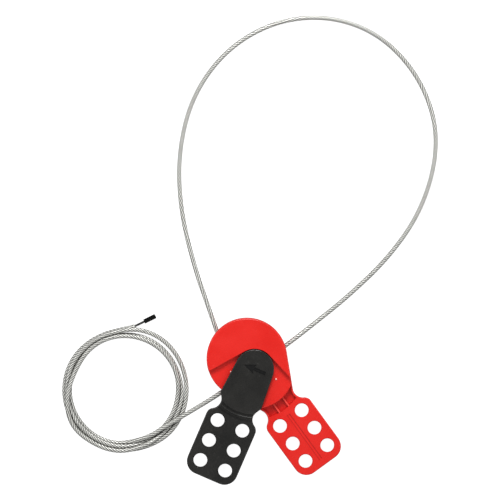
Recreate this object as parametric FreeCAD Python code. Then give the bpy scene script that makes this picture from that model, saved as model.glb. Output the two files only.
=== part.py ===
import FreeCAD, Part
import math
import os

# Cable lockout hasp. Millimetres, +Z up from the face it rests on.
# The origin is on the arm's pivot axis at the rear face, and the fixed hasp tab points along -Y.

# Round body
disc_radius = 32.0
disc_offset = 10.2            # the disc's centre, beyond the pivot
rear_thickness = 8.0          # the parting plane between the two mouldings
floor_step = 4.0              # the recess floor above the parting plane
face_step = 4.0               # the raised face above the recess floor
wall = 2.4
floor_thickness = 3.0
edge_round = 1.2
seam_bevel = 0.3

# Tabs, alike on the body and on the arm
tab_thickness = 4.0
tab_half_width = 21.1
tab_margin = 11.35            # from the last row of holes to the tab's end
tab_corner = 10.6
tab_round = 0.8
tab_root = 0.8                # how far out from the pivot the tab starts, as a share of the coring
shoulder_radius = 6.2
neck_half_width = 14.1
neck_radius = 8.1
neck_lead = 0.4               # the neck's narrowest place, short of the step
hole_diameter = 11.0
hole_across = 21.4            # between the two columns
hole_pitch = 17.25            # along a column
hole_start = 8.55             # from the ledge to the first row
hole_rows = 3
hole_chamfer = 0.5
groove_width = 2.8
groove_depth = 0.5
groove_start = 4.9            # from the ledge
groove_stop = 5.5             # from the tab's end

# Pocket between the body and the fixed tab
pocket_depth = 2.8
pocket_rim = 1.4
rib_thickness = 1.2
rib_offset = 4.5
rib_sunk = 0.3                # below the parting plane

# Recess that the arm sweeps
recess_gap = 0.6
recess_flare = 7.0            # degrees
bump_radius = 19.0
bump_angles = (151.4, -61.8)
bump_ball = 1.5
bump_height = 0.6

# Arm
arm_end_radius = 15.5
arm_flare = 2.1               # how much wider it is at its corners
arm_corner_down = 26.8
arm_plate = 3.85
arm_gap = 0.15
step_gap = 0.65               # between the arm's step and the edge of the body that it passes
step_lap = 1.0                # how far the plate runs over the step
step_length = 5.2
step_drop = 2.0               # from the plate's top to the groove beside the bead
bead_offset = 3.45            # from the start of the step
bead_size = 0.8
bead_inset = 0.7
step_inset = 0.3
arm_rest_angle = -59.5        # from closed over the fixed tab
arrow_tip = 9.2
arrow_tail = 9.4
arrow_head = 9.6
arrow_head_half = 3.9
arrow_shaft_half = 1.4
arrow_barb = 1.2              # how far the head sweeps back past the shaft
arrow_depth = 0.8
bump_track = 1.9
bump_track_depth = 0.75

# Hub of the arm and what holds it
hub_radius = 11.0
hub_play = 0.1
window_nip = 0.45
keeper_lip = 2.4
keeper_thickness = 1.6
keeper_inset = 0.2
keeper_play = 0.6
keeper_lift = 0.15
keeper_bevel = 0.3
hub_wall = 3.4

# Cable
cable_diameter = 3.6
cable_play = 0.25
cable_height = 5.6
mouth_flare = 1.0
ferrule_wall = 1.4
ferrule_length = 11.0
ferrule_play = 0.15
ferrule_bevel = 0.4
ferrule_back = 0.6            # how far the cable's end stands out of the ferrule
core_diameter = 1.8
sleeve_wall = 0.95
sleeve_length = 10.0
sleeve_cap = 2.0
sleeve_round = 0.5
bend_share = 0.45             # of the shorter run beside a bend, what the bend takes

# Screws
upper_screw_angles = (50.0, 140.0)       # about the disc's centre
upper_screw_inset = 6.0
lower_screw_angles = (-123.5, -56.5)     # about the pivot
lower_screw_inset = 7.5
screw_shank = 1.45
screw_head = 2.8
screw_head_height = 2.0
screw_head_round = 0.7
screw_sunk = 0.4
screw_bite = 2.8
hole_spare = 0.3              # how far a screw hole runs past the screw
boss_wall = 2.6
thread_gap = 0.05
shank_gap = 0.25
head_gap = 0.4
keeper_screw_offset = 5.6
keeper_screw_shank = 1.2
keeper_screw_head = 2.4
keeper_screw_length = 6.4
cross_width = 0.7
cross_share = 0.62            # of the head's radius

# Lower edge of both mouldings, about the pivot
reach_radius = disc_radius

# The arm's step starts just clear of the disc when the arm points along -X.
disc_side = math.sqrt(disc_radius ** 2 - (neck_half_width - disc_offset) ** 2)
step_start = math.hypot(disc_side, neck_half_width) + step_gap
arm_plate_end = step_start + step_lap
bead_radius = step_start + bead_offset
ledge_radius = step_start + step_length
neck_distance = step_start - neck_lead
hole_first = ledge_radius + hole_start
tab_end = hole_first + (hole_rows - 1) * hole_pitch + tab_margin

cable_radius = cable_diameter / 2
ferrule_radius = cable_radius + ferrule_wall
sleeve_radius = core_diameter / 2 + sleeve_wall
recess_radius = arm_end_radius + recess_gap
keeper_radius = hub_radius + keeper_lip
hasp_bottom = rear_thickness - tab_thickness
recess_top = rear_thickness + floor_step
face_top = recess_top + face_step
arm_bottom = recess_top + arm_gap
arm_top = arm_bottom + arm_plate
arm_tab_bottom = rear_thickness + arm_gap
hub_bottom = keeper_inset + keeper_thickness
window_bottom = cable_height - cable_radius - cable_play
window_top = cable_height + cable_radius + cable_play
bore_radius = hub_radius + hub_play
keeper_recess = keeper_radius + keeper_play
keeper_roof = hub_bottom + keeper_lift

# The cable's route outside its coil: from inside the ferrule, round the loop, through the body, to the coil
cable_points = (
    (-11.0, 27.6, 5.6), (-1.0, 60.5, 5.6), (9.3, 95.0, 1.85), (27.2, 137.8, 1.8), (52.4, 174.8, 1.85),
    (87.5, 204.6, 1.8), (130.5, 218.8, 1.85), (174.0, 215.0, 1.8), (211.0, 194.8, 1.85), (236.0, 161.5, 1.8),
    (244.0, 120.0, 1.85), (236.0, 78.6, 1.8), (214.6, 47.4, 1.85), (179.0, 21.6, 1.8), (137.0, 7.6, 1.85),
    (92.5, 2.0, 1.8), (62.0, 0.7, 2.3), (39.0, 0.0, 5.6), (-37.0, 0.0, 5.6), (-73.0, 3.3, 5.5),
)
# The free end, from the coil to the point where the coating stops, and on into the sleeve
free_points = ((-66.0, 86.8, 1.8), (-60.7, 84.5, 1.85), (-57.0, 83.2, 1.9))
core_points = ((-57.0, 83.2, 1.9), (-41.3, 80.5, 1.9))
coil_centre = (-94.0, 46.9)
coil_outer = 51.8
coil_inner = 40.4
coil_height = 7.6
coil_round = 2.0

big = 400.0


def vec(x, y, z=0.0):
    return FreeCAD.Vector(x, y, z)


def polar(centre, radius, angle):
    return (centre[0] + radius * math.cos(angle), centre[1] + radius * math.sin(angle))


def heading(start, end):
    return math.atan2(end[1] - start[1], end[0] - start[0])


def span(start, end):
    return math.hypot(end[0] - start[0], end[1] - start[1])


def edges_along(start, steps):
    # A step of one point is a line to it; a step of two is an arc through the first to the second.
    edges = []
    here = start
    for step in steps:
        if len(step) == 2:
            edges.append(Part.Arc(vec(*here), vec(*step[0]), vec(*step[1])).toShape())
        else:
            edges.append(Part.LineSegment(vec(*here), vec(*step[0])).toShape())
        here = step[-1]
    return edges


def face_from(edges):
    return Part.Face(Part.Wire(Part.__sortEdges__(edges)))


def mirrored_face(start, steps):
    # A face from its right half, which starts and ends on the centre line.
    other = [tuple((-x, y) for x, y in step) for step in steps]
    return face_from(edges_along(start, steps) + edges_along(start, other))


def raised(face, bottom, top):
    prism = face.extrude(vec(0, 0, top - bottom))
    prism.translate(vec(0, 0, bottom))
    return prism


def cylinder(radius, bottom, top, x=0.0, y=0.0):
    return Part.makeCylinder(radius, top - bottom, vec(x, y, bottom))


def block(x0, x1, y0, y1, z0, z1):
    return Part.makeBox(x1 - x0, y1 - y0, z1 - z0, vec(x0, y0, z0))


def rim_edges(shape, level):
    # Edges that lie wholly in the plane z = level.
    near = 1e-4
    boxes = [(edge, edge.BoundBox) for edge in shape.Edges]
    return [edge for edge, box in boxes if abs(box.ZMin - level) < near and abs(box.ZMax - level) < near]


def round_edges(shape):
    return [e for e in shape.Edges if e.Curve.TypeId == "Part::GeomCircle"]


def rounded(shape, radius, *levels):
    edges = []
    for level in levels:
        edges += rim_edges(shape, level)
    return shape.makeFillet(radius, edges)


def bevelled(shape, size, level):
    return shape.makeChamfer(size, rim_edges(shape, level))


def whole(shape):
    # The one clean solid of a boolean result.
    result = shape.removeSplitter()
    return result.Solids[0] if len(result.Solids) == 1 else result


def save(name, shape):
    solids = shape.Solids
    shape = solids[0] if len(solids) == 1 else Part.makeCompound(solids)
    shape.exportStep("parts/" + name + ".step")
    print(name, "solids", len(solids), "valid", shape.isValid(), "volume %.1f" % shape.Volume)


# Outlines

neck_centre = (neck_half_width + neck_radius, -neck_distance)
shoulder_x = tab_half_width - shoulder_radius
shoulder_rise = math.sqrt((neck_radius + shoulder_radius) ** 2 - (neck_centre[0] - shoulder_x) ** 2)
shoulder_centre = (shoulder_x, neck_centre[1] - shoulder_rise)


def tab_steps(neck_entry):
    # Right edge of a tab, from where a flank runs into the neck's hollow to the centre of the tab's end.
    turn = heading(neck_centre, shoulder_centre) % (2 * math.pi)
    entry = heading(neck_centre, neck_entry) % (2 * math.pi)
    corner_y = -(tab_end - tab_corner)
    corner_x = tab_half_width - tab_corner
    return [
        (polar(neck_centre, neck_radius, (entry + turn) / 2), polar(neck_centre, neck_radius, turn)),
        (polar(shoulder_centre, shoulder_radius, (turn - math.pi) / 2),
         (tab_half_width, shoulder_centre[1])),
        ((tab_half_width, corner_y),),
        (polar((corner_x, corner_y), tab_corner, -math.pi / 4), (corner_x, -tab_end)),
        ((0.0, -tab_end),),
    ]


def body_outline():
    centre = (0.0, disc_offset)
    lean = math.acos((disc_radius + neck_radius) / span(centre, neck_centre))
    angle = heading(centre, neck_centre) + lean
    flank_top = polar(centre, disc_radius, angle)
    flank_end = polar(neck_centre, neck_radius, angle + math.pi)
    top = (0.0, disc_offset + disc_radius)
    steps = [(polar(centre, disc_radius, (angle + math.pi / 2) / 2), flank_top), (flank_end,)]
    return mirrored_face(top, steps + tab_steps(flank_end))


def arm_outline():
    corner = (arm_end_radius + arm_flare, -arm_corner_down)
    reach = span((0, 0), corner)
    side = heading((0, 0), corner) + math.acos(arm_end_radius / reach)
    side_top = polar((0, 0), arm_end_radius, side)
    to_corner = heading(neck_centre, corner)
    entry_angle = to_corner + math.acos(neck_radius / span(neck_centre, corner))
    entry = polar(neck_centre, neck_radius, entry_angle)
    steps = [
        (polar((0, 0), arm_end_radius, (side + math.pi / 2) / 2), side_top),
        (corner,),
        (entry,),
    ]
    return mirrored_face((0.0, arm_end_radius), steps + tab_steps(entry))


def recess_outline():
    # Everything that the arm sweeps: a round end, with walls that flare towards -X and towards -Y.
    flare = math.radians(recess_flare)
    right = polar((0, 0), recess_radius, flare)
    left = polar((0, 0), recess_radius, math.pi / 2 - flare)
    right_end = (right[0] + big * math.sin(flare), right[1] - big * math.cos(flare))
    left_end = (left[0] - big * math.cos(flare), left[1] + big * math.sin(flare))
    middle = polar((0, 0), recess_radius, math.pi / 4)
    steps = [(middle, right), (right_end,), ((-big, -big),), (left_end,), (left,)]
    return face_from(edges_along(left, steps))


def hole_places():
    rows = [-(hole_first + row * hole_pitch) for row in range(hole_rows)]
    return [(side * hole_across / 2, y) for y in rows for side in (-1, 1)]


def around(centre, radius, angles):
    return [polar(centre, radius, math.radians(angle)) for angle in angles]


def tab_holes(bottom, top):
    holes = []
    for x, y in hole_places():
        radius = hole_diameter / 2
        holes.append(cylinder(radius, bottom - 1, top + 1, x, y))
        wide = radius + hole_chamfer
        holes.append(Part.makeCone(wide, radius, hole_chamfer, vec(x, y, bottom)))
        holes.append(Part.makeCone(radius, wide, hole_chamfer, vec(x, y, top - hole_chamfer)))
    return holes


def body_reach(low, high):
    # What both mouldings cover: up from the pivot's line, and within the reach below it.
    return cylinder(reach_radius, low, high).fuse(block(-big, big, 0, big, low, high))


def along(start, end, radius):
    direction = vec(*end) - vec(*start)
    return Part.makeCylinder(radius, direction.Length, vec(*start), direction)


# Places of the cover's screws, and the cable's end in the body

cover_screw_places = around((0, disc_offset), disc_radius - upper_screw_inset, upper_screw_angles)
cover_screw_places += around((0, 0), reach_radius - lower_screw_inset, lower_screw_angles)

anchor_end = vec(*cable_points[0])
anchor_way = (vec(*cable_points[1]) - anchor_end).normalize()
ferrule_start = anchor_end + anchor_way * ferrule_back
ferrule_stop = ferrule_start + anchor_way * ferrule_length


def slot(start, end, radius, top):
    # A round-bottomed slot, open up to the parting plane.
    way = vec(*end) - vec(*start)
    tilt = math.degrees(math.atan2(way.y, way.x))
    upper = block(0, way.Length, -radius, radius, 0, top - start[2])
    upper.rotate(vec(0, 0), vec(0, 0, 1), tilt)
    upper.translate(vec(*start))
    return along(start, end, radius).fuse(upper)


def ferrule_seat():
    # The space that holds the ferrule, rounded into both mouldings.
    start = ferrule_start - anchor_way * (ferrule_back + ferrule_play)
    end = ferrule_stop + anchor_way * ferrule_play
    return slot(tuple(start), tuple(end), ferrule_radius + ferrule_play, rear_thickness)


def cable_ways():
    # Passages in the rear moulding: straight through under the arm, and in to the ferrule's seat.
    channel = cable_radius + cable_play
    height = cable_height
    out = anchor_end + anchor_way * 2 * disc_radius
    return [
        slot((-big, 0, height), (big, 0, height), channel, rear_thickness + 1),
        slot(tuple(anchor_end), tuple(out), channel, rear_thickness + 1),
        ferrule_seat(),
    ]


def mouths():
    # Flared mouths where the cable leaves the body.
    narrow = cable_radius + cable_play
    wide = narrow + mouth_flare
    found = []
    side = math.sqrt(disc_radius ** 2 - disc_offset ** 2)
    for sign in (-1, 1):
        start = vec(sign * (side - mouth_flare), 0, cable_height)
        found.append(Part.makeCone(narrow, wide, mouth_flare, start, vec(sign, 0, 0)))
    return found


def keep_rear():
    # What stays solid when the rear moulding is cored out from the parting plane.
    block_half = cable_radius + cable_play + wall
    ring = cylinder(bore_radius + hub_wall, 0, rear_thickness)
    way = block(-big, big, -block_half, block_half, 0, rear_thickness)
    seat_start = tuple(anchor_end - anchor_way * wall)
    seat_end = tuple(anchor_end + anchor_way * 2 * disc_radius)
    seat = slot(seat_start, seat_end, ferrule_radius + wall, rear_thickness)
    boss = screw_head + head_gap + boss_wall / 2
    bosses = [cylinder(boss, 0, rear_thickness, x, y) for x, y in cover_screw_places]
    return ring.fuse([way, seat] + bosses)


outline = body_outline()
arm_face = arm_outline()
recess_face = recess_outline()


def make_rear_body():
    lower = whole(raised(outline, 0, rear_thickness).common(body_reach(0, rear_thickness)))
    lower = rounded(lower, edge_round, 0)
    lower = bevelled(lower, seam_bevel, rear_thickness)
    hidden = (reach_radius - wall) * tab_root
    tab = rounded(raised(outline, hasp_bottom, rear_thickness), tab_round, hasp_bottom, rear_thickness)
    tab = tab.common(block(-big, big, -big, -hidden, 0, big))

    inner = outline.makeOffset2D(-wall)
    core = raised(inner, floor_thickness, rear_thickness + 1).common(
        cylinder(reach_radius - wall, 0, big).fuse(block(-big, big, 0, big, 0, big)))
    lower = lower.cut(core.cut(keep_rear()))

    pocket_floor = rear_thickness - pocket_depth
    pocket = raised(outline.makeOffset2D(-pocket_rim), pocket_floor, rear_thickness + 1)
    pocket = pocket.common(cylinder(ledge_radius, 0, big)).cut(cylinder(reach_radius, 0, big))
    pocket = pocket.common(block(-big, big, -big, 0, 0, big))
    for side in (-1, 1):
        middle = side * rib_offset
        half = rib_thickness / 2
        pocket = pocket.cut(block(middle - half, middle + half, -big, 0, 0, rear_thickness - rib_sunk))

    groove_half = groove_width / 2
    groove_floor = rear_thickness - groove_depth
    groove = block(-groove_half, groove_half, groove_stop - tab_end, -ledge_radius - groove_start,
                   groove_floor, rear_thickness + 1)

    body = lower.fuse(tab)
    cuts = cable_ways() + mouths() + tab_holes(hasp_bottom, rear_thickness) + [pocket, groove]
    cuts.append(cylinder(bore_radius, keeper_roof - 1, rear_thickness + 1))
    cuts.append(cylinder(keeper_recess, -1, keeper_roof))
    head_seat = screw_sunk + screw_head_height
    for x, y in cover_screw_places:
        cuts.append(cylinder(screw_head + head_gap, -1, head_seat, x, y))
        cuts.append(cylinder(screw_shank + shank_gap, head_seat - 1, rear_thickness + 1, x, y))
    for cut in cuts:
        body = body.cut(cut)
    return whole(body)


def make_front_cover():
    reach = body_reach(0, big)
    low = whole(raised(outline, rear_thickness, recess_top).common(reach))
    low = bevelled(low, seam_bevel, rear_thickness)
    low = rounded(low, tab_round, recess_top)
    high = whole(raised(outline, rear_thickness + 1, face_top).common(reach))
    high = rounded(high, edge_round, face_top)
    high = high.cut(raised(recess_face, 0, big))
    cover = low.fuse(high)

    inner = outline.makeOffset2D(-wall)
    near = cylinder(reach_radius - wall, 0, big).fuse(block(-big, big, 0, big, 0, big))
    core = raised(inner, rear_thickness - 1, recess_top - wall)
    deep = raised(inner, rear_thickness - 1, face_top - wall).cut(raised(recess_face, 0, big))
    deep = deep.cut(cylinder(recess_radius + wall, 0, big))
    keep = [cylinder(bore_radius + hub_wall, 0, big)]
    for x, y in cover_screw_places:
        keep.append(cylinder(screw_shank + boss_wall, 0, big, x, y))
    core = core.fuse(deep).common(near)
    for part in keep:
        core = core.cut(part)
    cover = cover.cut(core).cut(ferrule_seat())

    cover = cover.cut(cylinder(bore_radius, 0, big))
    hole_end = rear_thickness + screw_bite + hole_spare
    for x, y in cover_screw_places:
        cover = cover.cut(cylinder(screw_shank + thread_gap, 0, hole_end, x, y))
    for angle in bump_angles:
        x, y = polar((0, 0), bump_radius, math.radians(angle))
        ball = Part.makeSphere(bump_ball, vec(x, y, recess_top + bump_height - bump_ball))
        cover = cover.fuse(ball.common(block(-big, big, -big, big, recess_top - bump_height, big)))
    return whole(cover)


def arrow_face():
    half = arrow_shaft_half
    back = -arrow_tip + arrow_head
    points = [(-arrow_tip, 0), (back, arrow_head_half), (back - arrow_barb, half), (arrow_tail, half),
              (arrow_tail, -half), (back - arrow_barb, -half), (back, -arrow_head_half)]
    return face_from(edges_along(points[0], [(p,) for p in points[1:]] + [(points[0],)]))


def hub():
    # A round hub through the body, with a window that stays clear of the cable over the whole swing.
    shape = cylinder(hub_radius, hub_bottom, arm_bottom + 1)
    window = cylinder(hub_radius + 1, window_bottom, window_top)
    edge = cable_radius + window_nip
    for side in (-1, 1):
        across, along_y = sorted((0, -side * big)), sorted((0, side * big))
        lobe = block(*across, *along_y, 0, big)
        lobe.translate(vec(-side * edge, side * edge))
        window = window.cut(lobe)
    return shape.cut(window)


def make_lock_arm():
    plate = whole(raised(arm_face, arm_bottom, arm_top).common(cylinder(arm_plate_end, 0, big)))
    plate = rounded(plate, tab_round, arm_top)
    plate = bevelled(plate, seam_bevel, arm_bottom)
    outer = block(-big, big, -big, 0, 0, big).cut(cylinder(step_start, 0, big))
    tab_top = arm_tab_bottom + tab_thickness
    tab = raised(arm_face, arm_tab_bottom, tab_top)
    tab = rounded(tab, tab_round, arm_tab_bottom, tab_top).common(outer)
    step_top = arm_top - step_drop
    step = raised(arm_face.makeOffset2D(-step_inset), arm_tab_bottom + tab_round, step_top)
    step = rounded(step, tab_round, step_top).common(outer).common(cylinder(ledge_radius, 0, big))
    bead = Part.makeTorus(bead_radius, bead_size, vec(0, 0, step_top))
    bead = bead.common(block(-big, big, -big, 0, 0, big))
    bead = bead.common(raised(arm_face.makeOffset2D(-bead_inset), 0, big))

    arm = plate.fuse([tab, step, bead, hub()])
    cuts = tab_holes(arm_tab_bottom, tab_top)
    cuts.append(raised(arrow_face(), arm_top - arrow_depth, arm_top + 1))
    track = cylinder(bump_radius + bump_track, arm_bottom - 1, arm_bottom + bump_track_depth)
    cuts.append(track.cut(cylinder(bump_radius - bump_track, 0, big)))
    hole_end = keeper_inset + keeper_screw_length + hole_spare
    for x, y in keeper_places():
        cuts.append(cylinder(keeper_screw_shank + thread_gap, 0, hole_end, x, y))
    for cut in cuts:
        arm = arm.cut(cut)
    return at_rest(whole(arm))


def at_rest(shape):
    shape = shape.copy()
    shape.rotate(vec(0, 0), vec(0, 0, 1), arm_rest_angle)
    return shape


def keeper_cone(bottom, grow):
    sink = keeper_screw_head - keeper_screw_shank
    return Part.makeCone(keeper_screw_head + grow, keeper_screw_shank + grow, sink, bottom)


def keeper_places():
    return [(-side * keeper_screw_offset, side * keeper_screw_offset) for side in (-1, 1)]


def make_keeper_plate():
    plate = cylinder(keeper_radius, keeper_inset, hub_bottom)
    plate = plate.makeChamfer(keeper_bevel, rim_edges(plate, keeper_inset))
    for x, y in keeper_places():
        plate = plate.cut(cylinder(keeper_screw_shank + shank_gap, 0, hub_bottom + 1, x, y))
        plate = plate.cut(keeper_cone(vec(x, y, keeper_inset), thread_gap))
    return at_rest(plate)


def cross_recess(x, y, bottom, head):
    reach = head * cross_share
    half = cross_width / 2
    first = block(x - reach, x + reach, y - half, y + half, bottom - 1, bottom + cross_width)
    return first.fuse(block(x - half, x + half, y - reach, y + reach, bottom - 1, bottom + cross_width))


def make_keeper_screws():
    screws = []
    for x, y in keeper_places():
        shank = cylinder(keeper_screw_shank, keeper_inset, keeper_inset + keeper_screw_length, x, y)
        screw = keeper_cone(vec(x, y, keeper_inset), 0.0).fuse(shank)
        screws.append(whole(screw.cut(cross_recess(x, y, keeper_inset, keeper_screw_head))))
    return at_rest(Part.makeCompound(screws))


def make_cover_screws():
    screws = []
    for x, y in cover_screw_places:
        head = cylinder(screw_head, screw_sunk, screw_sunk + screw_head_height, x, y)
        head = head.makeFillet(screw_head_round, rim_edges(head, screw_sunk))
        shank = cylinder(screw_shank, screw_sunk + 1, rear_thickness + screw_bite, x, y)
        screws.append(whole(head.fuse(shank).cut(cross_recess(x, y, screw_sunk, screw_head))))
    return Part.makeCompound(screws)


def make_ferrule():
    shape = along(tuple(ferrule_start), tuple(ferrule_stop), ferrule_radius)
    hole = along(tuple(ferrule_start - anchor_way), tuple(ferrule_stop + anchor_way), cable_radius)
    return shape.makeChamfer(ferrule_bevel, round_edges(shape)).cut(hole)


def route_wire(points):
    # Straight runs joined by tangent arcs, each as large as its two runs allow.
    spots = [vec(*p) for p in points]
    edges = []
    here = spots[0]
    radii = []
    for before, spot, after in zip(spots, spots[1:], spots[2:]):
        way_in = (spot - before).normalize()
        way_out = (after - spot).normalize()
        half = way_in.getAngle(way_out) / 2
        trim = bend_share * min(before.distanceToPoint(spot), spot.distanceToPoint(after))
        radius = trim / math.tan(half)
        start = spot - way_in * trim
        end = spot + way_out * trim
        middle = spot + (way_out - way_in).normalize() * (radius / math.cos(half) - radius)
        edges.append(Part.LineSegment(here, start).toShape())
        edges.append(Part.Arc(start, middle, end).toShape())
        here = end
        radii.append(radius)
    edges.append(Part.LineSegment(here, spots[-1]).toShape())
    return Part.Wire(edges), radii


def make_tube(name, points, radius):
    wire, radii = route_wire(points)
    section = Part.Wire(Part.Circle(vec(*points[0]), vec(*points[1]) - vec(*points[0]), radius).toShape())
    tube = wire.makePipeShell([section], True, False)
    expected = math.pi * radius ** 2 * wire.Length
    print(name, "length %.1f" % wire.Length, "volume / expected %.5f" % (tube.Volume / expected))
    print(name, "radii", " ".join("%.0f" % r for r in radii))
    return tube


def make_coil():
    x, y = coil_centre
    ring = cylinder(coil_outer, 0, coil_height, x, y).cut(cylinder(coil_inner, -1, big, x, y))
    return ring.makeFillet(coil_round, rim_edges(ring, coil_height))


def make_free_end():
    coated = make_tube("free_end", free_points, cable_radius)
    core = make_tube("free_core", core_points, core_diameter / 2)
    return whole(coated.fuse(core))


def make_sleeve():
    tip = vec(*core_points[-1])
    way = (tip - vec(*core_points[-2])).normalize()
    start = tip - way * (sleeve_length - sleeve_cap)
    shape = Part.makeCylinder(sleeve_radius, sleeve_length, start, way)
    shape = shape.makeFillet(sleeve_round, round_edges(shape))
    return shape.cut(Part.makeCylinder(core_diameter / 2, sleeve_length - sleeve_cap + 1, start - way, way))


os.makedirs("parts", exist_ok=True)
save("rear_body", make_rear_body())
save("front_cover", make_front_cover())
save("lock_arm", make_lock_arm())
save("keeper_plate", make_keeper_plate())
save("keeper_screws", make_keeper_screws())
save("cover_screws", make_cover_screws())
save("cable_ferrule", make_ferrule())
save("cable", make_tube("cable", cable_points, cable_radius))
save("cable_coil", make_coil())
save("cable_end", make_free_end())
save("end_sleeve", make_sleeve())
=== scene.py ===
import math

import bpy
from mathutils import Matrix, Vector
from mathutils.kdtree import KDTree


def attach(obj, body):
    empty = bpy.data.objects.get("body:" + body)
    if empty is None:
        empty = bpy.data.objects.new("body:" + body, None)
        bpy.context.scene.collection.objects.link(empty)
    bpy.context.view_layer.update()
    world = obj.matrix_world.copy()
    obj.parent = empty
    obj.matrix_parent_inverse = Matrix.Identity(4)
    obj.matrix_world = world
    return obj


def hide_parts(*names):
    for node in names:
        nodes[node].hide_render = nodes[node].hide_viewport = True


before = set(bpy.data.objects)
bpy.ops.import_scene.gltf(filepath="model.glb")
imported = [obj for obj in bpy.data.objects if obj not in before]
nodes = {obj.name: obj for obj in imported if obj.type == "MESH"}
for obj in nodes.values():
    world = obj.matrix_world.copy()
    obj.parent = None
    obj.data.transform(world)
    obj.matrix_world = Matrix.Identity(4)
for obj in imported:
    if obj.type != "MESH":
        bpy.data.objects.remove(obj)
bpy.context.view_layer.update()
mm = 0.001    # lengths are given in millimetres, and the scene is in metres
up = Vector((0, 0, 1))
print("frame loaded:", len(nodes), "nodes")


class Wire:
    # A node's output, so that a mask made from others reads as a sum.
    def __init__(self, tree, socket=None):
        self.tree = tree
        self.socket = socket

    def node(self, kind, settings=None, inputs=None, output=0):
        made = self.tree.nodes.new("ShaderNode" + kind)
        for name, value in (settings or {}).items():
            setattr(made, name, value)
        for name, value in (inputs or {}).items():
            if isinstance(value, Wire):
                self.tree.links.new(value.socket, made.inputs[name])
            else:
                made.inputs[name].default_value = value
        return Wire(self.tree, made.outputs[output]) if made.outputs else made

    def calc(self, operation, first, second=0.0):
        return self.node("Math", {"operation": operation}, {0: first, 1: second})

    def __add__(self, other):
        return self.calc("ADD", self, other)

    __radd__ = __add__

    def __sub__(self, other):
        return self.calc("SUBTRACT", self, other)

    def __rsub__(self, other):
        return self.calc("SUBTRACT", other, self)

    def __mul__(self, other):
        return self.calc("MULTIPLY", self, other)

    __rmul__ = __mul__

    def __pow__(self, other):
        return self.calc("POWER", self, other)

    def ramp(self, low, high, lowValue=0.0, highValue=1.0):
        ends = {"From Min": low, "From Max": high, "To Min": lowValue, "To Max": highValue}
        return self.node("MapRange", {"clamp": True}, {"Value": self, **ends})

    def band(self, *places):
        # A mask by places in millimetres. The last two are where it starts to fall and is gone, and two
        # before them, if given, are where it starts to rise and is full.
        *rise, fall, gone = [place * mm for place in places]
        mask = self.ramp(fall, gone, 1.0, 0.0)
        return self.ramp(*rise) * mask if rise else mask

    def mix(self, first, second):
        # This mask between two colours.
        kind = {"data_type": "RGBA", "clamp_factor": True}
        return self.node("Mix", kind, {0: self, 6: first, 7: second}, 2)

    def noise(self, place, scale, detail, rough=0.5):
        values = {"Vector": place, "Scale": scale, "Detail": detail, "Roughness": rough}
        return self.node("TexNoise", {"noise_dimensions": "3D"}, values)


def linear(red, green, blue):
    # A colour given as it looks on a screen, from 0 to 255.
    parts = [part / 255 for part in (red, green, blue)]
    return tuple(p / 12.92 if p <= 0.04045 else ((p + 0.055) / 1.055) ** 2.4 for p in parts) + (1.0,)


def startPaint(name):
    material = bpy.data.materials.new(name)
    material.use_nodes = True
    material.node_tree.nodes.clear()
    return material, Wire(material.node_tree)


def finishPaint(material, paint, sockets):
    # A surface of one Principled shader. The sockets that hold numbers are set on the shader itself.
    surface = paint.node("BsdfPrincipled", None, sockets)
    paint.node("OutputMaterial", None, {"Surface": surface})
    return material


def bump(paint, height, depth):
    return paint.node("Bump", None, {"Height": height, "Distance": depth * mm, "Strength": 1.0})


def dress(material, *names):
    for name in names:
        for slot in nodes[name].material_slots:
            slot.material = material


noiseRange = (0.3, 0.7)    # the part of a noise's values that a change in gloss is spread over


# Moulded nylon: the red of the body and the black of the arm
nylon = {
    "redLight": (235, 34, 24), "redDeep": (222, 26, 17),
    "blackLight": (38, 37, 34), "blackDeep": (17, 17, 16),
    "roughness": (0.3, 0.42), "ior": 1.5,
    "clouds": 55.0,             # soft clouds of colour in a metre
    "grain": 1500.0,            # cells of the mould's spark texture in a metre
    "fibres": 525.0,            # fibre flecks in a metre
    "grainDepth": 0.02, "fibreShare": 0.8,
    "cloudShare": 0.3, "shadeRange": (0.38, 0.62),
    "fleckRange": (0.62, 0.7), "fleck": 0.12, "fleckPale": 70,
}
# Marks on the mouldings, painted shade in hollows and painted highlights on tops: each one's colour, and the
# places in millimetres that its mask rises and falls at.
# "across" counts from lines "aside" of the middle, "around" from the hub's axis, and "near" from the spots.
marks = {
    # painted shade on the pocket floor beside the disc
    "pocketFloorShade": {
        "colour": (214, 24, 16), "along": (-41.5, -41.0, -31.5, -31.0), "level": (4.4, 4.6, 5.4, 7.0),
    },
    # painted shade in the corners of the tab's groove
    "grooveCornerShade": {
        "colour": (196, 20, 14), "across": (0.5, 1.0, 1.38, 1.42), "along": (-45.0, -44.5),
        "level": (7.3, 7.4, 7.8, 7.95),
    },
    "bumpTipHighlights": {    # painted highlight: pale glints on the bumps' tips
        "colour": (255, 190, 180), "spots": [(-16.68, 9.1, 12.6), (8.98, -16.74, 12.6)], "near": (0.55, 0.9),
    },
    # painted highlight along the ribs' tops
    "ribTopHighlights": {
        "colour": (240, 72, 62), "aside": 4.5, "across": (0.5, 0.7), "along": (-31.5, -31.0),
        "level": (7.5, 7.6, 7.8, 7.9),
    },
    # painted shade on the floor of the arrow's recess, nearly black
    "arrowFloorShade": {"colour": (4, 4, 4), "around": (11.0, 11.5), "level": (15.6, 15.8)},
}


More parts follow.
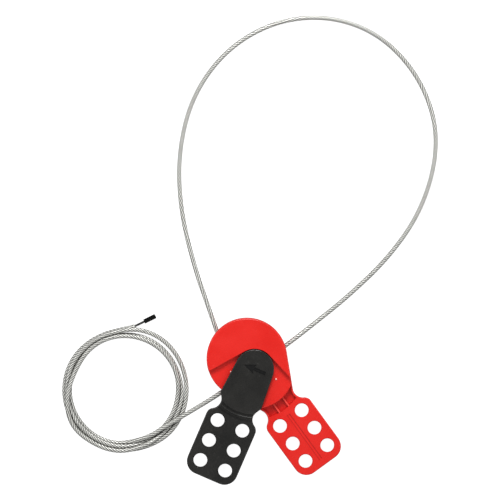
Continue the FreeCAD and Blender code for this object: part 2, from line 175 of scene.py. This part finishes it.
def markMask(paint, place, mark):
    x, y, z = [paint.node("SeparateXYZ", None, {0: place}, axis) for axis in "XYZ"]
    mask = y.band(*mark["along"]) if "along" in mark else 1.0
    if "level" in mark:
        mask = z.band(*mark["level"]) * mask
    if "across" in mark:
        fromLine = paint.calc("ABSOLUTE", x) - mark.get("aside", 0.0) * mm
        mask = paint.calc("ABSOLUTE", fromLine).band(*mark["across"]) * mask
    if "around" in mark:
        flat = paint.node("VectorMath", {"operation": "MULTIPLY"}, {0: place, 1: (1.0, 1.0, 0.0)}, "Vector")
        reach = paint.node("VectorMath", {"operation": "LENGTH"}, {0: flat}, "Value")
        mask = reach.band(*mark["around"]) * mask
    if "spots" in mark:
        tips = 0.0
        for spot in mark["spots"]:
            ends = {0: place, 1: [part * mm for part in spot]}
            gap = paint.node("VectorMath", {"operation": "DISTANCE"}, ends, "Value")
            tips = gap.band(*mark["near"]) + tips
        mask = tips * mask
    return mask


def nylonPaint(name, light, deep, markNames):
    material, paint = startPaint(name)
    place = paint.node("TexCoord", None, None, "Object")
    clouds = paint.noise(place, nylon["clouds"], 3.0)
    grain = paint.noise(place, nylon["grain"], 2.0, 0.6)
    fibres = paint.noise(place, nylon["fibres"], 4.0, 0.7)
    mixed = clouds * nylon["cloudShare"] + grain * (1 - nylon["cloudShare"])
    colour = mixed.ramp(*nylon["shadeRange"]).mix(linear(*deep), linear(*light))
    flecks = fibres.ramp(*nylon["fleckRange"]) * nylon["fleck"]
    colour = flecks.mix(colour, linear(*[min(255, part + nylon["fleckPale"]) for part in light]))
    # The marks paint shade and highlights onto the colour by place
    for markName in markNames:
        mark = marks[markName]
        colour = markMask(paint, place, mark).mix(colour, linear(*mark["colour"]))
    return finishPaint(material, paint, {
        "Base Color": colour,
        "Roughness": (clouds * 0.5 + fibres * 0.5).ramp(*noiseRange, *nylon["roughness"]),
        "Normal": bump(paint, grain + fibres * nylon["fibreShare"], nylon["grainDepth"]),
        "IOR": nylon["ior"],
    })


redMarks = ["pocketFloorShade", "grooveCornerShade", "bumpTipHighlights", "ribTopHighlights"]
redNylon = nylonPaint("redNylon", nylon["redLight"], nylon["redDeep"], redMarks)
blackNylon = nylonPaint("blackNylon", nylon["blackLight"], nylon["blackDeep"], ["arrowFloorShade"])
dress(redNylon, "rear_body", "front_cover")
dress(blackNylon, "lock_arm")
print("mouldings dressed")


# Zinc plated screws and plate, and the aluminium ferrule
metal = {
    "zinc": (196, 199, 203), "zincStain": (150, 150, 146), "zincRoughness": (0.22, 0.42),
    "aluminium": (205, 206, 208), "aluminiumRoughness": (0.3, 0.5),
    "stains": 420.0,            # patches of stain in a metre
    "stainRange": (0.4, 0.75),
    "turning": 260.0,           # rings of tool marks in a metre
    "turningBend": 2.0, "turningDepth": 0.004,
}


def metalPaint(name, colour, stain, roughness):
    material, paint = startPaint(name)
    place = paint.node("TexCoord", None, None, "Object")
    stains = paint.noise(place, metal["stains"], 4.0, 0.6)
    turning = paint.node("TexWave", {"wave_type": "RINGS"}, {
        "Vector": place, "Scale": metal["turning"], "Distortion": metal["turningBend"], "Detail": 2.0})
    return finishPaint(material, paint, {
        "Base Color": stains.ramp(*metal["stainRange"]).mix(linear(*colour), linear(*stain)),
        "Roughness": stains.ramp(*noiseRange, *roughness),
        "Metallic": 1.0,
        "Normal": bump(paint, turning, metal["turningDepth"]),
    })


zincSteel = metalPaint("zincSteel", metal["zinc"], metal["zincStain"], metal["zincRoughness"])
ferruleMetal = metalPaint("ferruleMetal", metal["aluminium"], metal["zinc"], metal["aluminiumRoughness"])
dress(zincSteel, "keeper_plate", "keeper_screws", "cover_screws")
dress(ferruleMetal, "cable_ferrule")
print("metal dressed")


# The cable, a coated steel rope. It runs from its ferrule in the body round the loop, back through the body
# and into its coil.
cable = {
    "diameter": 3.6, "bareDiameter": 1.8,
    "strands": 6, "lay": 17.6,            # one turn of a strand along the rope
    "valley": 0.9, "bareValley": 0.8,     # radius between the strands, as a share of the radius on them
    "crownShape": 0.9,
    "curveSteps": 24, "ringGap": 1.2, "pointsInStrand": 8,
    "touchReach": 5.6,                    # turns closer than this lie against each other
    "touchFull": 0.6,                     # share of that reach within which they press hardest
    "touchApart": 20.0, "touchMost": 6,   # how far along the rope another turn starts, and rings looked at
    "stripped": 15.9,                     # bare length at the free end, most of it in the sleeve
}
ferruleEnd = (-11.0, 27.6, 5.6)
loopPoints = [
    (-1.0, 60.5, 5.6), (9.3, 95.0, 1.85), (27.2, 137.8, 1.8), (52.4, 174.8, 1.85),
    (87.5, 204.6, 1.8), (130.5, 218.8, 1.85), (174.0, 215.0, 1.8), (211.0, 194.8, 1.85),
    (236.0, 161.5, 1.8), (244.0, 120.0, 1.85), (236.0, 78.6, 1.8), (214.6, 47.4, 1.85),
    (179.0, 21.6, 1.8), (137.0, 7.6, 1.85), (92.5, 2.0, 1.8), (62.0, 0.7, 2.3),
]
# Straight through the body's channel under the arm
channelPoints = [(39.0, 0.0, 5.6), (15.0, 0.0, 5.6), (-15.0, 0.0, 5.6), (-37.0, 0.0, 5.6), (-73.0, 3.3, 5.5)]
freePoints = [
    (-66.0, 86.8, 1.8), (-60.7, 84.5, 1.85), (-57.0, 83.2, 1.9), (-49.2, 81.86, 1.9), (-41.3, 80.5, 1.9),
]
coil = {
    "centre": (-94.0, 46.9), "step": 10,
    # Degrees turned clockwise, radius and height. The turns wander over and under each other.
    "turns": [
        (81, 42.6, 5.4), (102, 41.4, 4.9), (116, 41.3, 3.0), (130, 42.7, 1.8), (146, 43.4, 1.8),
        (186, 43.9, 1.8), (220, 44.2, 1.8), (246, 44.0, 1.8), (291, 43.9, 1.8), (326, 44.6, 1.8),
        (381, 44.7, 1.8), (401, 45.8, 1.8), (421, 46.2, 1.8), (444, 46.2, 1.8), (462, 46.6, 4.9),
        (476, 47.4, 5.3), (491, 48.6, 5.3), (521, 49.0, 5.3), (537, 50.0, 5.1), (547, 49.5, 5.6),
        (556, 48.2, 7.2), (564, 46.7, 8.0), (572, 45.3, 7.9), (580, 44.0, 7.2), (590, 42.7, 5.6),
        (604, 42.0, 5.0), (624, 42.8, 5.0), (646, 43.4, 5.2), (686, 43.4, 5.3), (736, 43.5, 5.2),
        (761, 42.6, 3.4), (781, 42.6, 1.8), (822, 43.6, 1.8), (836, 44.8, 2.6), (851, 45.1, 4.6),
        (886, 45.1, 5.0), (916, 46.1, 4.6), (941, 46.2, 4.5), (961, 46.6, 5.0), (996, 46.6, 5.1),
        (1021, 47.4, 5.35), (1033, 49.0, 5.4), (1051, 50.1, 3.0), (1068, 50.2, 1.9), (1101, 49.5, 1.8),
        (1141, 49.5, 1.8), (1164, 49.4, 1.8), (1182, 48.4, 1.8), (1226, 47.7, 1.8), (1256, 48.2, 1.8),
        (1276, 48.4, 1.8), (1321, 48.4, 1.8), (1361, 47.5, 1.8), (1376, 47.8, 1.8),
    ],
}


def between(keys, at):
    # A smooth curve through the keys, each a place followed by its values.
    last = len(keys) - 2
    index = min(last, max(0, sum(1 for key in keys if key[0] <= at) - 1))
    start, end = keys[index], keys[index + 1]
    before, after = keys[max(0, index - 1)], keys[min(last + 1, index + 2)]
    width = end[0] - start[0]
    share = (at - start[0]) / width
    values = []
    for k in range(1, len(start)):
        slopeIn = (end[k] - before[k]) / (end[0] - before[0]) * width
        slopeOut = (after[k] - start[k]) / (after[0] - start[0]) * width
        rise = end[k] - start[k]
        cubic = slopeIn + slopeOut - 2 * rise
        square = 3 * rise - 2 * slopeIn - slopeOut
        values.append(start[k] + slopeIn * share + (cubic * share ** 3 + square * share ** 2))
    return values


def coilPoints():
    first, last = coil["turns"][0][0], coil["turns"][-1][0]
    points = []
    for angle in range(first, last + 1, coil["step"]):
        radius, height = between(coil["turns"], angle)
        height = max(height, cable["diameter"] / 2)    # never into the floor
        turn = math.radians(angle)
        x, y = coil["centre"]
        points.append((x + radius * math.cos(turn), y - radius * math.sin(turn), height))
    return points


def layRoute(points):
    curve = bpy.data.curves.new("cableRoute", "CURVE")
    curve.dimensions = "3D"
    curve.resolution_u = cable["curveSteps"]
    spline = curve.splines.new("NURBS")
    spline.points.add(len(points) - 1)
    for spot, point in zip(spline.points, points):
        spot.co = (point[0] * mm, point[1] * mm, point[2] * mm, 1)
    spline.order_u = 3
    spline.use_endpoint_u = True
    holder = bpy.data.objects.new("cableRoute", curve)
    line = bpy.data.meshes.new_from_object(holder)
    spots = [vertex.co.copy() for vertex in line.vertices]
    bpy.data.meshes.remove(line)
    bpy.data.objects.remove(holder)
    bpy.data.curves.remove(curve)
    return spots


def evenly(spots, gap):
    # The same line with its points the same distance apart, and how far along each one is.
    run = [0.0]
    for here, there in zip(spots, spots[1:]):
        run.append(run[-1] + (there - here).length)
    count = round(run[-1] / gap)
    path, along, index = [], [], 0
    for k in range(count + 1):
        at = run[-1] * k / count
        while index < len(spots) - 2 and run[index + 1] < at:
            index += 1
        share = (at - run[index]) / (run[index + 1] - run[index])
        path.append(spots[index].lerp(spots[index + 1], share))
        along.append(at)
    return path, along


def turnsBeside(path, along):
    # For each ring, the ways to the other turns that lie against it, and how close each one is.
    tree = KDTree(len(path))
    for k, spot in enumerate(path):
        tree.insert(spot, k)
    tree.balance()
    reach, apart, full = cable["touchReach"] * mm, cable["touchApart"] * mm, cable["touchFull"]
    beside = []
    for k, spot in enumerate(path):
        found = [hit for hit in tree.find_range(spot, reach) if abs(along[hit[1]] - along[k]) > apart]
        found.sort(key=lambda hit: (hit[2], hit[1]))
        beside.append([((there - spot).normalized(), 1 - max(0.0, gap / reach - full) / (1 - full))
                       for there, _, gap in found[:cable["touchMost"]]])
    return beside


def tubeFaces(rings, around):
    faces = []
    for low in range(0, (rings - 1) * around, around):
        high = low + around
        for j in range(around):
            following = (j + 1) % around
            faces.append((low + j, low + following, high + following, high + j))
    return faces


def ropeMesh(name, path, along):
    length = along[-1]
    beside = turnsBeside(path, along)
    inStrand = cable["pointsInStrand"]
    around = cable["strands"] * inStrand
    corners, crowns, touches, turns = [], [], [], []
    for k, centre in enumerate(path):
        ahead = (path[min(k + 1, len(path) - 1)] - path[max(k - 1, 0)]).normalized()
        side = up.cross(ahead).normalized()
        over = ahead.cross(side)
        bare = along[k] > length - cable["stripped"] * mm
        radius = cable["bareDiameter" if bare else "diameter"] / 2 * mm
        valley = cable["bareValley" if bare else "valley"]
        twist = along[k] / (cable["lay"] * mm)
        for j in range(around):
            crown = abs(math.cos(math.pi * j / inStrand)) ** cable["crownShape"]
            turn = 2 * math.pi * (j / around + twist)
            reach = radius * (valley + (1 - valley) * crown)
            out = side * math.cos(turn) + over * math.sin(turn)
            corners.append(centre + out * reach)
            crowns.append(crown)
            # how much this corner faces a turn lying against it, which the paint darkens as shade
            touches.append(max((max(0.0, out.dot(way)) * close for way, close in beside[k]), default=0.0))
        turns.append(twist)
    faces = tubeFaces(len(path), around)
    faces.append(tuple(reversed(range(around))))
    faces.append(tuple(range((len(path) - 1) * around, len(path) * around)))
    mesh = bpy.data.meshes.new(name)
    mesh.from_pydata(corners, [], faces)
    mesh.attributes.new("crown", "FLOAT", "POINT").data.foreach_set("value", crowns)
    mesh.attributes.new("touch", "FLOAT", "POINT").data.foreach_set("value", touches)
    layMap = mesh.uv_layers.new(name="lay").data
    for face in mesh.polygons[:-2]:
        k, j = divmod(face.index, around)
        spots = ((k, j), (k, j + 1), (k + 1, j + 1), (k + 1, j))
        for loop, (ring, place) in zip(face.loop_indices, spots):
            layMap[loop].uv = (along[ring], place / around + turns[ring])
    mesh.shade_smooth()
    return mesh


def addPiece(name, mesh, material, body="housing"):
    piece = bpy.data.objects.new(name, mesh)
    bpy.context.scene.collection.objects.link(piece)
    mesh.materials.append(material)
    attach(piece, body)
    return piece


ropeLook = {
    # painted highlight on the strands' crowns and painted shade in the valleys between them, coated and bare
    "crown": (248, 248, 241), "valley": (8, 8, 8),
    "bareCrown": (80, 80, 78), "bareValley": (10, 10, 10),
    "wires": 34, "wireDepth": 0.03, "clouds": 300.0,
    "crownPower": 2.6, "crownShare": 0.86, "wireShare": 0.1, "cloudShare": 0.12, "lightRange": (0.08, 0.92),
    "roughness": (0.3, 0.48), "metallic": 0.35, "bareMetallic": 0.85, "coat": 0.9, "coatRoughness": 0.16,
    "coatEdge": 0.2,                             # length that the coating fades out over
    "contactShade": (0.64, 0.86), "contactShadeColour": (6, 6, 6),    # painted shade where one turn lies against another
    "contactShadeMetallic": 0.3,                         # what the painted shade takes off the shine of metal
}


def ropePaint(length):
    material, paint = startPaint("coatedRope")
    crown = paint.node("Attribute", {"attribute_name": "crown"}, None, "Fac")
    layMap = paint.node("UVMap", {"uv_map": "lay"})
    along = paint.node("SeparateXYZ", None, {0: layMap}, "X")
    turn = paint.node("SeparateXYZ", None, {0: layMap}, "Y")
    place = paint.node("TexCoord", None, None, "Object")
    wires = paint.calc("SINE", turn * (2 * math.pi * ropeLook["wires"])).ramp(-1.0, 1.0)
    clouds = paint.noise(place, ropeLook["clouds"], 3.0)
    coatEnd = length - cable["stripped"] * mm
    bare = along.ramp(coatEnd - ropeLook["coatEdge"] * mm, coatEnd)
    # painted shade where one turn lies against another, from the touch attribute
    touch = paint.node("Attribute", {"attribute_name": "touch"}, None, "Fac")
    contactShade = touch.ramp(*ropeLook["contactShade"])
    # Painted light: the strands' crowns are painted light as a highlight, and the valleys and the lines
    # between wires are painted dark as shade
    light = crown ** ropeLook["crownPower"] * ropeLook["crownShare"]
    light = light + wires * ropeLook["wireShare"] + clouds * ropeLook["cloudShare"]
    light = light.ramp(*ropeLook["lightRange"])
    coated = light.mix(linear(*ropeLook["valley"]), linear(*ropeLook["crown"]))
    stripped = light.mix(linear(*ropeLook["bareValley"]), linear(*ropeLook["bareCrown"]))
    moreMetal = ropeLook["bareMetallic"] - ropeLook["metallic"]
    return finishPaint(material, paint, {
        "Base Color": contactShade.mix(bare.mix(coated, stripped), linear(*ropeLook["contactShadeColour"])),
        "Metallic": ropeLook["metallic"] + bare * moreMetal - contactShade * ropeLook["contactShadeMetallic"],
        "Roughness": clouds.ramp(*noiseRange, *ropeLook["roughness"]),
        "Coat Weight": (1 - bare) * (1 - contactShade) * ropeLook["coat"],
        "Coat Roughness": ropeLook["coatRoughness"],
        "Normal": bump(paint, wires * 0.5 + crown * 0.5, ropeLook["wireDepth"]),
    })


route = layRoute([ferruleEnd] + loopPoints + channelPoints + coilPoints() + freePoints)
ropePath, ropeAlong = evenly(route, cable["ringGap"] * mm)
ropeLength = ropeAlong[-1]
rope = addPiece("rope", ropeMesh("rope", ropePath, ropeAlong), ropePaint(ropeLength))
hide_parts("cable", "cable_coil", "cable_end")
print("rope laid: %.3f m, %d rings" % (ropeLength, len(ropePath)))


# The black sleeve shrunk over the free end
sleeve = {
    "radius": 1.85, "length": 10.0,
    "cap": 2.0,                               # how far it reaches past the cable's tip
    "tip": 0.7, "tipRings": 6,                # rounding of the closed end
    "lip": 0.05, "lipLength": 0.3,            # swollen edge where the cable enters
    "telegraph": 0.05, "telegraphFade": 2.0,  # depth of the strands showing through, and where they stop
    "around": 48, "rings": 40,
    "light": (5, 5, 5), "deep": (2, 2, 2), "roughness": (0.22, 0.34), "specular": 0.2,
    "clouds": 900.0, "cloudRange": (0.35, 0.7), "cloudDepth": 0.02,
}


def sleeveMesh(name, tip, way):
    side = up.cross(way).normalized()
    over = way.cross(side)
    radius, length, bend, lip = sleeve["radius"], sleeve["length"], sleeve["tip"], sleeve["lipLength"]
    capStart = length - sleeve["cap"]
    start = tip - way * (capStart * mm)
    inner = cable["bareDiameter"] / 2
    # Each ring's place along the sleeve, its radius, and how much the strands show through it
    rings = [(lip, inner, 0.0), (0.0, inner, 0.0)]
    for k in range(sleeve["rings"] + 1):
        at = (length - bend) * k / sleeve["rings"]
        shown = min(1.0, max(0.0, (capStart - at) / sleeve["telegraphFade"]))
        rings.append((at, radius + sleeve["lip"] * math.exp(-at / lip), shown))
    for k in range(1, sleeve["tipRings"] + 1):
        turn = math.pi / 2 * k / sleeve["tipRings"]
        rings.append((length - bend * (1 - math.sin(turn)), radius - bend * (1 - math.cos(turn)), 0.0))
    corners = []
    around = sleeve["around"]
    for at, reach, shown in rings:
        for j in range(around):
            turn = 2 * math.pi * j / around
            wave = math.cos(cable["strands"] * (turn - 2 * math.pi * at / cable["lay"]))
            here = (reach + sleeve["telegraph"] * shown * (wave - 1) / 2) * mm
            out = side * math.cos(turn) + over * math.sin(turn)
            corners.append(start + way * (at * mm) + out * here)
    faces = tubeFaces(len(rings), around)
    faces.append(tuple(range((len(rings) - 1) * around, len(rings) * around)))
    mesh = bpy.data.meshes.new(name)
    mesh.from_pydata(corners, [], faces)
    mesh.shade_smooth()
    return mesh


def sleevePaint():
    material, paint = startPaint("blackSleeve")
    place = paint.node("TexCoord", None, None, "Object")
    clouds = paint.noise(place, sleeve["clouds"], 3.0, 0.6)
    shade = clouds.ramp(*sleeve["cloudRange"])
    return finishPaint(material, paint, {
        "Base Color": shade.mix(linear(*sleeve["deep"]), linear(*sleeve["light"])),
        "Roughness": clouds.ramp(*noiseRange, *sleeve["roughness"]),
        "Specular IOR Level": sleeve["specular"],
        "Normal": bump(paint, clouds, sleeve["cloudDepth"]),
    })


sleeveWay = (ropePath[-1] - ropePath[-4]).normalized()
sleeveShape = sleeveMesh("shrinkSleeve", ropePath[-1], sleeveWay)
endSleeve = addPiece("shrinkSleeve", sleeveShape, sleevePaint())
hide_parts("end_sleeve")


# Floor, light and camera
studio = {
    # In metres, but for the turn in degrees and the film
    "aim": (0.0527, 0.0782, 0.0), "turn": -36.14, "height": 1.5, "across": 0.4, "film": 36.0,
    "floor": (160, 160, 160), "floorGlow": 0.93, "floorSize": 4.0, "floorLevel": -0.0001,
    "floorClouds": 6.0, "floorShade": 0.985, "floorRoughness": (0.75, 0.85),
    "sky": (0.96, 0.98, 1.0), "skyStrength": 0.12,
    # Each light: how far towards the top of the view, to its right and up, its size and its power
    "lights": {
        "top": (0.85, 0.0, 0.85, 0.45, 11.0), "left": (0.1, -0.85, 0.85, 1.0, 5.0),
        "right": (0.1, 0.85, 0.85, 1.0, 5.0), "near": (-0.85, 0.0, 0.85, 1.0, 2.5),
    },
}


def addFloor():
    material, paint = startPaint("paleFloor")
    place = paint.node("TexCoord", None, None, "Object")
    clouds = paint.noise(place, studio["floorClouds"], 2.0)
    light = linear(*studio["floor"])
    shade = tuple(part * studio["floorShade"] for part in light[:3]) + (1.0,)
    seen = paint.node("LightPath", None, None, "Is Camera Ray")
    finishPaint(material, paint, {
        "Base Color": clouds.mix(light, shade),
        "Roughness": clouds.ramp(*noiseRange, *studio["floorRoughness"]),
        "Emission Color": seen.mix((0.0, 0.0, 0.0, 1.0), (studio["floorGlow"],) * 3 + (1.0,)),
        "Emission Strength": 1.0,
    })
    half = studio["floorSize"] / 2
    square = ((-half, -half), (half, -half), (half, half), (-half, half))
    corners = [(x, y, studio["floorLevel"]) for x, y in square]
    mesh = bpy.data.meshes.new("floor")
    mesh.from_pydata(corners, [], [(0, 1, 2, 3)])
    mesh.materials.append(material)
    floor = bpy.data.objects.new("floor", mesh)
    bpy.context.scene.collection.objects.link(floor)


def addLights():
    world = bpy.data.worlds.new("studioSky")
    world.use_nodes = True
    sky = world.node_tree.nodes["Background"]
    sky.inputs["Color"].default_value = studio["sky"] + (1.0,)
    sky.inputs["Strength"].default_value = studio["skyStrength"]
    bpy.context.scene.world = world
    turn = math.radians(studio["turn"])
    viewUp = Vector((-math.sin(turn), math.cos(turn), 0))
    viewRight = Vector((math.cos(turn), math.sin(turn), 0))
    aim = Vector(studio["aim"])
    for name, (above, right, high, size, power) in studio["lights"].items():
        data = bpy.data.lights.new(name, "AREA")
        data.size = size
        data.energy = power
        light = bpy.data.objects.new(name, data)
        light.location = aim + viewUp * above + viewRight * right + up * high
        light.rotation_euler = (aim - light.location).to_track_quat("-Z", "Y").to_euler()
        bpy.context.scene.collection.objects.link(light)


def addCamera():
    data = bpy.data.cameras.new("camera")
    data.sensor_width = studio["film"]
    data.lens = studio["film"] * studio["height"] / studio["across"]
    camera = bpy.data.objects.new("camera", data)
    camera.location = Vector(studio["aim"]) + up * studio["height"]
    camera.rotation_euler = (0, 0, math.radians(studio["turn"]))
    bpy.context.scene.collection.objects.link(camera)
    bpy.context.scene.camera = camera


addFloor()
addLights()
addCamera()
bpy.context.scene.view_settings.view_transform = "Standard"
print("studio ready")
